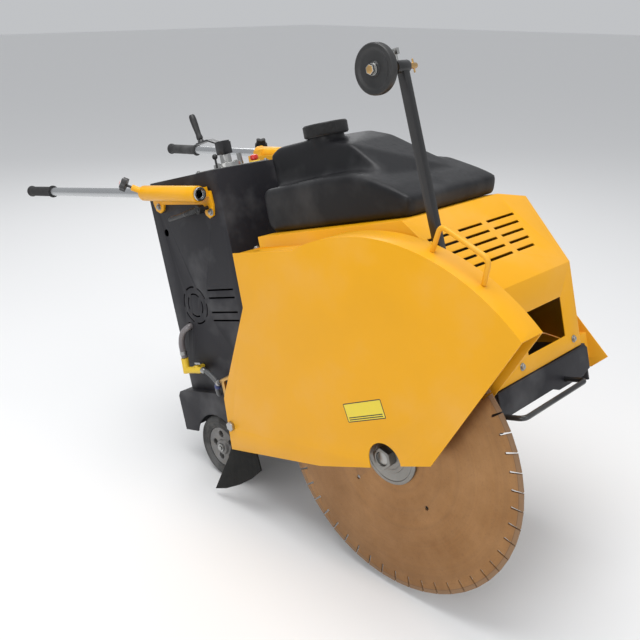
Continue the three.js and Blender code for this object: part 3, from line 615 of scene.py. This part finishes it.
def makeTank():
    near, far = tank["lowerSides"]
    middleX, middleZ = tank["middle"]
    shoulder, tuck = tank["shoulder"], tank["tuck"]
    ridge = [(x, y, z) for x, z in tank["lower"] for y in (near + shoulder, far - shoulder)]
    flank = [(x + math.copysign(tuck, middleX - x), y, z + math.copysign(tuck, middleZ - z))
             for x, z in tank["lower"] for y in (near, far)]
    lumps = [hullOf(ridge + flank), hullOf(tank["upper"])]
    deselect()
    neckAt = [place * mm for place in tank["neckAt"]]
    bpy.ops.mesh.primitive_cylinder_add(vertices=48, radius=tank["neckRadius"] * mm,
                                        depth=tank["neckDepth"] * mm, location=neckAt)
    lumps.append(bpy.context.object)
    body = joined("water_tank_skin", lumps)
    remesh = body.modifiers.new("grow", "REMESH")
    remesh.mode = "VOXEL"
    remesh.voxel_size = tank["voxel"] * mm
    applyAll(body)
    soften = body.modifiers.new("soften", "SMOOTH")
    soften.iterations = tank["smoothing"]
    soften.factor = 0.5
    applyAll(body)
    choose(body)
    bpy.ops.object.shade_smooth()
    settle(body, "water_tank_skin")
    finished(body, tankPlastic, "chassis", "water_tank")


makeTank()

cap = {
    "at": (-218, 200), "bottom": 750, "height": 27, "ribs": 60, "core": 54.8,
    "ribGap": 0.5, "ribDepth": 2.2, "rim": 3.0, "dishWall": 1.5, "dishDepth": 1.6, "dishWidth": 24,
}


def makeCap():
    x, y = cap["at"]
    deselect()
    height = cap["height"]
    bpy.ops.mesh.primitive_cylinder_add(vertices=cap["ribs"] * 2, radius=cap["core"] * mm, depth=height * mm,
                                        location=(x * mm, y * mm, (cap["bottom"] + height / 2) * mm))
    piece = bpy.context.object
    sides = [face.index for face in piece.data.polygons if abs(face.normal.z) < 0.5]
    bpy.ops.object.mode_set(mode="EDIT")
    bpy.ops.mesh.select_all(action="DESELECT")
    bpy.ops.object.mode_set(mode="OBJECT")
    for order, index in enumerate(sides):
        piece.data.polygons[index].select = order % 2 == 0
    bpy.ops.object.mode_set(mode="EDIT")
    bpy.ops.mesh.select_mode(type="FACE")
    bpy.ops.mesh.inset(thickness=cap["ribGap"] * mm, depth=cap["ribDepth"] * mm, use_individual=True)
    bpy.ops.mesh.select_all(action="DESELECT")
    bpy.ops.object.mode_set(mode="OBJECT")
    top = max(piece.data.polygons, key=lambda face: face.center.z)
    top.select = True
    bpy.ops.object.mode_set(mode="EDIT")
    bpy.ops.mesh.inset(thickness=cap["rim"] * mm, depth=0)
    bpy.ops.mesh.inset(thickness=cap["dishWall"] * mm, depth=-cap["dishDepth"] * mm)
    bpy.ops.mesh.inset(thickness=cap["dishWidth"] * mm, depth=0)
    bpy.ops.mesh.inset(thickness=cap["dishWall"] * mm, depth=cap["dishDepth"] * mm)
    bpy.ops.object.mode_set(mode="OBJECT")
    bevelled(piece, 0.5, 2, 50)
    smoothEdges(piece, 35)
    settle(piece, "tank_cap_skin")
    finished(piece, blackPlastic, "cap", "tank_cap")


makeCap()
print("tank ready")

# Wheels
rearWheel = {
    "radius": 98, "seat": 62, "width": 45, "groove": 95.6, "at": (-727, -84.8),
    "near": {"right": 28.5, "left": 396.5}, "boltAt": {"right": 26.8, "left": 443.2},
}
frontWheel = {"radius": 75, "bore": 10.4, "width": 46, "at": (-174, -260), "near": {"right": 66, "left": 268}}


def makeWheels():
    radius, seat, width, deep = (rearWheel[key] for key in ("radius", "seat", "width", "groove"))
    edge = [(seat + 0.3, 4.2), (66, 3.4), (70, 0.8), (82, 0.3), (84, 1.6), (86, 0.6), (91, 1.6),
            (95.5, 5.0), (97.4, 8.2)]
    groove = [(radius, 12.2), (deep, 12.8), (deep, 15.0), (radius, 15.6), (radius, 20.4), (deep, 21.0)]
    profile = edge + groove
    profile = profile + [(r, width - d) for r, d in reversed(profile)]
    x, z = rearWheel["at"]
    for side, near in rearWheel["near"].items():
        tyre = turned("rear_tyre_" + side + "_skin", profile, (x, near, z), (0, 1, 0), 72, 30)
        finished(tyre, tyreRubber, "rear_wheel_" + side, "rear_tyre_" + side)
        facing = (0, -1, 0) if side == "right" else (0, 1, 0)
        finished(bolt((x, rearWheel["boltAt"][side], z), facing, 8, 5, 12), zincSteel, "chassis")
    bore, full = frontWheel["bore"], frontWheel["radius"]
    half = [(bore, 2), (20, 2), (22, 5), (26, 8), (46, 8), (49, 5), (51, 1.4), (54, 0.5), (66, 0.3),
            (71, 1.6), (full, 5.4)]
    profile = half + [(r, frontWheel["width"] - d) for r, d in reversed(half)]
    x, z = frontWheel["at"]
    for side, near in frontWheel["near"].items():
        wheel = turned("front_wheel_" + side + "_skin", profile, (x, near, z), (0, 1, 0), 64, 30)
        finished(wheel, tyreRubber, "front_roller_" + side, "front_wheel_" + side)


makeWheels()

# Blade flange: a turned disc with a raised rim and a boss, as (radius, distance from the blade)
flangeRings = [(17.6, 2.5), (75.4, 2.5), (75.9, 3.0), (75.9, 7.6), (75.2, 8.6), (69, 10.8), (67, 10.8),
               (65.5, 9.4), (46, 9.4), (44.5, 11), (40, 11), (36.5, 12.4), (34.5, 15.2), (33, 15.9),
               (17.6, 15.9)]
flange = turned("outer_flange_skin", flangeRings, (0, 0, 0), (0, -1, 0), 96, 30)
finished(flange, turnedSteel, "blade_spindle", "outer_flange")

# Guide wheel on its rod, at the top of the leaning arm
guideTop = {
    "pivot": (228, 130), "reach": 709, "lean": math.radians(2.83), "inner": -58, "width": 18, "boltAt": -58.3,
}


def makeGuideWheel():
    half = [(6.4, 0), (13.5, 0), (14.5, 1), (16, 3.6), (34, 4.2), (37, 3), (39.5, 1.2), (42, 0.4),
            (47.5, 0.6), (49.6, 2.6), (50, 5.0)]
    profile = half + [(r, guideTop["width"] - d) for r, d in reversed(half)]
    pivotX, pivotZ = guideTop["pivot"]
    x = pivotX - guideTop["reach"] * math.sin(guideTop["lean"])
    z = pivotZ + guideTop["reach"] * math.cos(guideTop["lean"])
    wheel = turned("guide_wheel_skin", profile, (x, guideTop["inner"], z), (0, 1, 0), 72, 32)
    finished(wheel, blackPlastic, "guide_roller", "guide_wheel")
    finished(bolt((x, guideTop["boltAt"], z), (0, -1, 0), 10.6, 8.3, 12), zincSteel, "guide_slide")


makeGuideWheel()
print("wheels ready")

# Bars and hoses
loopBar = {"radius": 6, "bend": 16, "front": 342, "height": 98, "start": 290.35, "legs": (50, 307)}
liftBar = {"radius": 5.5, "bend": 15, "across": -17,
           "route": [(231, 469), (262, 519), (364, 445), (341.5, 396.5)]}
hoses = {
    "upper": {
        "radius": 9.4,
        "route": [(-773, 56, 289), (-773, 40, 288), (-790, 26, 272), (-802, 21, 240), (-801.5, 20, 197.5)],
    },
    "lower": {
        "radius": 6.9,
        "route": [(-717, 20, 162), (-698, 20, 155), (-668, 20, 132), (-646, 12, 108), (-624, -8, 104),
                  (-606, -22, 128), (-590, -25, 144.6), (-579, -25, 148.8)],
    },
}
clips = [  # (start, direction, radius, width) of each worm-drive band
    ((-802, 20.5, 206), (0, 0.02, 1), 11.0, 11),
    ((-716, 20, 161), (0.93, 0, -0.34), 8.6, 9),
    ((-594, -25, 143), (0.93, 0, 0.35), 8.6, 9),
]
ferrule = {"profile": [(7.2, 0), (9.6, 0), (10, 0.6), (10, 4), (8.8, 5), (8.8, 11), (8.2, 12), (7.2, 12)],
           "start": (-721.5, 20, 162.6), "along": (0.93, 0, -0.3)}
collar = {"profile": [(7.2, 0), (8.7, 0.4), (9.3, 4), (9.3, 9), (8.7, 12), (7.2, 12.4)],
          "start": (-604, -22.3, 130), "along": (0.68, -0.13, 0.72)}


def throughPoints(points, steps=8):  # Catmull-Rom through every point
    places = [Vector(point) for point in points]
    ends = [places[0] * 2 - places[1]] + places + [places[-1] * 2 - places[-2]]
    route = []
    for a, b, c, d in zip(ends, ends[1:], ends[2:], ends[3:]):
        for i in range(steps):
            t = i / steps
            square, cube = 2 * a - 5 * b + 4 * c - d, 3 * b - a - 3 * c + d
            route.append(0.5 * (2 * b + (c - a) * t + square * t * t + cube * t ** 3))
    return route + [places[-1]]


def makeBars():
    near, far = loopBar["legs"]
    x, z, start = loopBar["front"], loopBar["height"], loopBar["start"]
    route = rounded([(start, near, z), (x, near, z), (x, far, z), (start, far, z)], loopBar["bend"])
    finished(tubed("front_loop_bar_skin", route, loopBar["radius"]), blackPaint, "chassis", "front_loop_bar")
    route = rounded([(x, liftBar["across"], z) for x, z in liftBar["route"]], liftBar["bend"])
    lift = tubed("guard_lift_handle_skin", route, liftBar["radius"])
    finished(lift, yellowPaint, "guard", "guard_lift_handle")
    for end, material in (("upper", clearHose), ("lower", greyHose)):
        hose = tubed("hose_" + end + "_skin", throughPoints(hoses[end]["route"]), hoses[end]["radius"])
        finished(hose, material, "chassis", "hose_" + end)


def hoseClip(start, direction, radius, width):
    profile = [(radius - 1.2, 0), (radius, 0.4), (radius, width - 0.4), (radius - 1.2, width)]
    band = turned("hose_clip", profile, start, direction, 36, 40)
    finished(band, zincSteel, "chassis")


makeBars()
for clip in clips:
    hoseClip(*clip)
ring = turned("hose_ferrule", ferrule["profile"], ferrule["start"], ferrule["along"], 36, 35)
finished(ring, zincSteel, "chassis")
ring = turned("hose_collar", collar["profile"], collar["start"], collar["along"], 36, 35)
finished(ring, bluePlastic, "chassis")
print("hoses ready")

# Handlebars: moulded grips, end sleeves, knob faces and clamp grips
handles = {
    "right": {"face": 46, "outward": -1, "axisY": 8, "centre": (-668, 681), "pitch": math.radians(6.9),
              "pushedIn": 0},
    "left": {"face": 425, "outward": 1, "axisY": 462, "centre": (-668, 732), "pitch": math.radians(10.1),
             "pushedIn": 220},
}
barTube = {
    "length": 958.4, "front": -132.7, "rear": 826, "bore": 10.7, "radius": 13.5, "edge": 0.4, "level": 681,
}
gripMould = {"length": 149, "ribs": 14, "firstRib": 16, "ribPitch": 8.6, "crest": 15.9, "valley": 15.1}
linerAt = -138.4
knobFace = {"axis": (-0.59, 0.605, 0.533), "from": (-158, 80, 51), "discLift": 8.05, "dotLift": 11.4}
clampGrip = {"from": (113, 625), "along": (-148, 0, -15), "rings": 7, "ringPitch": 9, "taper": 0.25,
             "hub": (24, 44), "pin": (4, 24)}
sleeveBolts = {"lift": 7.2, "places": ((-118, 650), (124, 612))}


def gripProfile():
    crest, valley = gripMould["crest"], gripMould["valley"]
    outer = [(13.9, 0.2), (16, 0.2), (19.6, 1.2), (19.9, 3.4), (19.2, 5.4), (16.4, 7.0)]
    for i in range(gripMould["ribs"]):
        d = gripMould["firstRib"] + i * gripMould["ribPitch"]
        outer += [(crest, d), (crest, d + 4.6), (valley, d + 5.4), (valley, d + 7.4)]
    return outer + [(crest, 142), (16.6, 147), (18.3, 149.6), (18.4, 153.6), (16.5, 155.6), (0, 155.8),
                    (0, 149.6), (13.9, 149.6)]


def makeHandlebar(side, handle, centre, rearward):  # the grip, the sleeve's steel liner and the sliding tube
    gripAt = barTube["rear"] - handle["pushedIn"] - gripMould["length"]
    grip = turned("grip_" + side + "_skin", gripProfile(), centre + rearward * gripAt, rearward, 48, 32)
    finished(grip, gripRubber, "handle_" + side, "grip_" + side)
    liner = [(13.9, 0), (18.2, 0), (18.6, 0.6), (18.6, 8), (13.9, 8)]
    ring = turned("sleeve_liner_" + side, liner, centre + rearward * linerAt, rearward, 40, 35)
    finished(ring, tubeSteel, "chassis")
    length, bore, radius, edge = (barTube[key] for key in ("length", "bore", "radius", "edge"))
    tube = [(bore, edge), (11, 0), (13.1, 0), (radius, edge), (radius, length - edge), (13.1, length),
            (11, length), (bore, length - edge)]
    start = centre + rearward * (barTube["front"] - handle["pushedIn"])
    bar = turned("handlebar_" + side + "_skin", tube, start, rearward, 56, 35)
    finished(bar, tubeSteel, "handle_" + side, "handlebar_" + side)


def makeKnobFace(side, handle):  # a domed white disc with a red dot
    cx, cz = handle["centre"]
    outward = handle["outward"]
    axisX, axisY, axisZ = knobFace["axis"]
    axis = Vector((axisX, outward * axisY, axisZ)).normalized()
    back, out, up = knobFace["from"]
    at = Vector((cx + back, handle["face"] + outward * out, cz + up))
    dome = [(0, 0), (12.5, 0), (12.3, 1.2), (10.5, 2.6), (7, 3.6), (0, 3.8)]
    plate = turned("knob_disc_" + side, dome, at + axis * knobFace["discLift"], axis, 32, 30)
    finished(plate, whitePlastic, "knob_" + side)
    dome = [(0, 0), (7.4, 0), (7.0, 0.9), (4.5, 1.8), (0, 2.2)]
    dot = turned("knob_dot_" + side, dome, at + axis * knobFace["dotLift"], axis, 28, 30)
    finished(dot, redPlastic, "knob_" + side)


def clampPart(handle, start, span, profile, steps):  # a turned piece across the clamp's axis
    low = min(handle["face"] + handle["outward"] * reach for reach in span)
    return turned("clamp_part", profile, (start.x, low, start.z), (0, 1, 0), steps, 35)


def makeClampLever(side, handle, drop):
    back, height = clampGrip["from"]
    start = Vector((handle["centre"][0] + back, handle["axisY"], height + drop))
    rings = [(0, -8), (8, -8)]
    for i in range(clampGrip["rings"]):
        d = 2 + i * clampGrip["ringPitch"]
        crest = 9.9 - i * clampGrip["taper"]
        rings += [(7.6, d), (crest, d + 2), (crest, d + 5), (7.4, d + 7)]
    rings += [(6.8, 70), (6.6, 140), (5.4, 146), (0, 148.5)]
    name = "clamp_lever_" + side + "_skin"
    lever = turned(name, rings, start, Vector(clampGrip["along"]).normalized(), 32, 35)
    drum = [(0, 0), (11, 0), (12, 1), (12, 19), (11, 20), (0, 20)]
    hub = clampPart(handle, start, clampGrip["hub"], drum, 32)
    pin = clampPart(handle, start, clampGrip["pin"], [(0, 0), (5, 0), (5, 20), (0, 20)], 20)
    finished(joined(name, [lever, hub, pin]), blackPlastic, "lever_" + side, "clamp_lever_" + side)


def makeHandle(side, handle):
    cx, cz = handle["centre"]
    pitch, outward = handle["pitch"], handle["outward"]
    drop = cz - barTube["level"]
    centre = Vector((cx, handle["axisY"], cz))
    rearward = Vector((-math.cos(pitch), 0, math.sin(pitch)))
    makeHandlebar(side, handle, centre, rearward)
    makeKnobFace(side, handle)
    makeClampLever(side, handle, drop)
    face = handle["face"] + outward * sleeveBolts["lift"]
    for back, height in sleeveBolts["places"]:
        finished(bolt((cx + back, face, height + drop), (0, outward, 0), 7, 5, 10), zincSteel, "chassis")


for side, handle in handles.items():
    makeHandle(side, handle)
print("handles ready")

# Controls on the console
controls = {
    "plate": (-600, 170), "gripFrom": (-98.6, 817), "gripTo": (-116.2, 891), "button": (-572, 250),
    "collarAt": 724.1, "plateScrews": ((-54, -64), (54, -64), (-54, 98), (54, 98)), "plateTop": 724.2,
    "hubScrews": 6, "hubRadius": 30, "hubTurn": 15, "hubTop": 735.1,
}


def makeControls():
    x, y = controls["plate"]
    start, end = (Vector((x + back, y, z)) for back, z in (controls["gripFrom"], controls["gripTo"]))
    profile = [(5.4, 0), (8.2, 0), (9.2, 1.5), (9.4, 8), (8.0, 14), (8.4, 24), (9.7, 44), (10, 60), (9.2, 70),
               (7, 74.6), (0, 75.8), (0, 73), (5.4, 73)]
    grip = turned("crank_grip_skin", profile, start, end - start, 40, 32)
    finished(grip, blackPlastic, "crank_knob", "crank_grip")
    stop = [(0, 712), (6, 712), (6, 729), (9, 729.4), (12, 733), (12, 739), (10.4, 743), (6, 744.8), (0, 745)]
    button = turned("stop_button_skin", stop, (*controls["button"], 0), (0, 0, 1), 40, 32)
    finished(button, redPlastic, "stop", "stop_button")
    collar = [(12.8, 0), (16.5, 0), (16.5, 2), (15, 3.6), (12.8, 3.6)]
    ring = turned("stop_collar", collar, (*controls["button"], controls["collarAt"]), (0, 0, 1), 36, 32)
    finished(ring, yellowPlastic, "chassis")
    for dx, dy in controls["plateScrews"]:
        finished(bolt((x + dx, y + dy, controls["plateTop"]), (0, 0, 1), 4.2, 3, 5.6), zincSteel, "chassis")
    for i in range(controls["hubScrews"]):
        angle = math.radians(360 / controls["hubScrews"] * i + controls["hubTurn"])
        out = controls["hubRadius"]
        place = (x + out * math.cos(angle), y + out * math.sin(angle), controls["hubTop"])
        finished(bolt(place, (0, 0, 1), 3.6, 3, 4.6), zincSteel, "chassis")


makeControls()

# Bolts on the frame, hood, belt cover, rear box and guard, as (start, direction, size)
boltPlaces = {
    "chassis": [
        *[((285.3, y, 175), (1, 0, 0), 6.5) for y in (153, 375)],
        ((-340, 45.8, 175), (0, -1, 0), 6.5),
        *[((x, 504.2, 175), (0, 1, 0), 6.5) for x in (-340, 100, -120)],
        *[((x, 521.7, z), (0, 1, 0), 6.0) for x, z in ((40, 40), (-55, 90), (110, 110))],
        *[((-837.2, y, z), (-1, 0, 0), 6.0) for z in (120, 660) for y in (90, 380)],
    ],
    "guard": [((-315, -17, 509.8), (0, 0, 1), 5.5)],
}
for body, places in boltPlaces.items():
    for start, direction, size in places:
        finished(bolt(start, direction, size, 4, size + 2.4), zincSteel, body)

# Blank label on the guard
label = {
    "centre": (-10, -54.2, 121.5), "size": (124, 46), "tilt": math.radians(10), "corner": 3, "border": 2.2,
    "stripes": (-12, -17), "stripeInset": 14, "stripe": (0.4, 2.4), "film": 0.2,
}


def makeLabel():
    x, y, z = label["centre"]
    width, height = label["size"]
    tilt = label["tilt"]
    deselect()
    bpy.ops.mesh.primitive_plane_add(size=1, location=(x * mm, y * mm, z * mm),
                                     rotation=(math.pi / 2, -tilt, 0))
    film = bpy.context.object
    film.scale = (width * mm, height * mm, 1)
    bpy.ops.object.transform_apply(location=False, rotation=True, scale=True)
    bpy.ops.object.mode_set(mode="EDIT")
    bpy.ops.mesh.select_all(action="SELECT")
    bpy.ops.mesh.bevel(offset=label["corner"] * mm, segments=4, affect="VERTICES")
    bpy.ops.mesh.inset(thickness=label["border"] * mm)
    bpy.ops.object.mode_set(mode="OBJECT")
    film.data.materials.append(labelFilm)
    film.data.materials.append(labelInk)
    inner = max(film.data.polygons, key=lambda face: face.area)
    for face in film.data.polygons:
        face.material_index = 0 if face.index == inner.index else 1
    for drop in label["stripes"]:
        deselect()
        bpy.ops.mesh.primitive_cube_add(size=1)
        stripe = bpy.context.object
        deep, wide = label["stripe"]
        stripe.scale = ((width - label["stripeInset"]) * mm, deep * mm, wide * mm)
        stripe.rotation_euler = (0, -tilt, 0)
        stripe.location = ((x - drop * math.sin(tilt)) * mm, y * mm, (z + drop * math.cos(tilt)) * mm)
        bpy.ops.object.transform_apply(location=False, rotation=True, scale=True)
        bevelled(stripe, 0.1, 1, 41)
        settle(stripe, "label_stripe")
        finished(stripe, labelInk, "guard")
    thick = film.modifiers.new("film", "SOLIDIFY")
    thick.thickness = label["film"] * mm
    thick.offset = 0
    applyAll(film)
    settle(film, "guard_label")
    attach(film, "guard")


makeLabel()
print("pieces ready")

# Camera, floor and light
view = {"offset": (1.0584, -1.3143), "height": 1.3626, "look": (-0.65297, 0.66367, -0.36493), "lens": 46.5,
        "sensor": 36, "far": 60}
camera = bpy.data.objects.new("camera", bpy.data.cameras.new("camera"))
bpy.context.collection.objects.link(camera)
camera.location = (spindleAt.x + view["offset"][0], spindleAt.y + view["offset"][1], view["height"])
camera.rotation_euler = Vector(view["look"]).to_track_quat("-Z", "Y").to_euler()
camera.data.lens = view["lens"]
camera.data.sensor_width = view["sensor"]
camera.data.clip_end = view["far"]
bpy.context.scene.camera = camera

studio = {"floorSize": 60, "floor": (0.86, 0.86, 0.86), "sky": (0.95, 0.97, 1.0), "skyStrength": 0.56}
lamps = [  # (name, place, target, size, power)
    ("overhead", (0.2, -0.6, 4.2), (0.2, 0, 0.5), 3.2, 108),
    ("keySide", (1.2, -4.2, 2.2), (0.3, 0, 0.5), 2.6, 34),
    ("frontFill", (4.4, -0.6, 2.2), (0.5, 0, 0.5), 2.2, 28),
    ("rearRim", (-3.0, 2.4, 2.8), (0, 0, 0.6), 2.0, 26),
]


def paleFloor():
    deselect()
    bpy.ops.mesh.primitive_plane_add(size=studio["floorSize"], location=(0, 0, 0))
    floor = bpy.context.object
    floor.name = "floor"
    material = bpy.data.materials.new("floorPaper")
    material.use_nodes = True
    shader = material.node_tree.nodes["Principled BSDF"]
    shader.inputs["Base Color"].default_value = (*studio["floor"], 1)
    shader.inputs["Roughness"].default_value = 0.9
    floor.data.materials.append(material)


def softLight(name, place, target, size, power):
    lamp = bpy.data.lights.new(name, "AREA")
    lamp.shape = "DISK"
    lamp.size = size
    lamp.energy = power
    holder = bpy.data.objects.new(name, lamp)
    bpy.context.collection.objects.link(holder)
    holder.location = place
    holder.rotation_euler = (Vector(target) - Vector(place)).to_track_quat("-Z", "Y").to_euler()


paleFloor()
for lamp in lamps:
    softLight(*lamp)
world = bpy.data.worlds.new("studio")
world.use_nodes = True
sky = world.node_tree.nodes["Background"]
sky.inputs["Color"].default_value = (*studio["sky"], 1)
sky.inputs["Strength"].default_value = studio["skyStrength"]
bpy.context.scene.world = world
bpy.context.scene.view_settings.view_transform = "Standard"
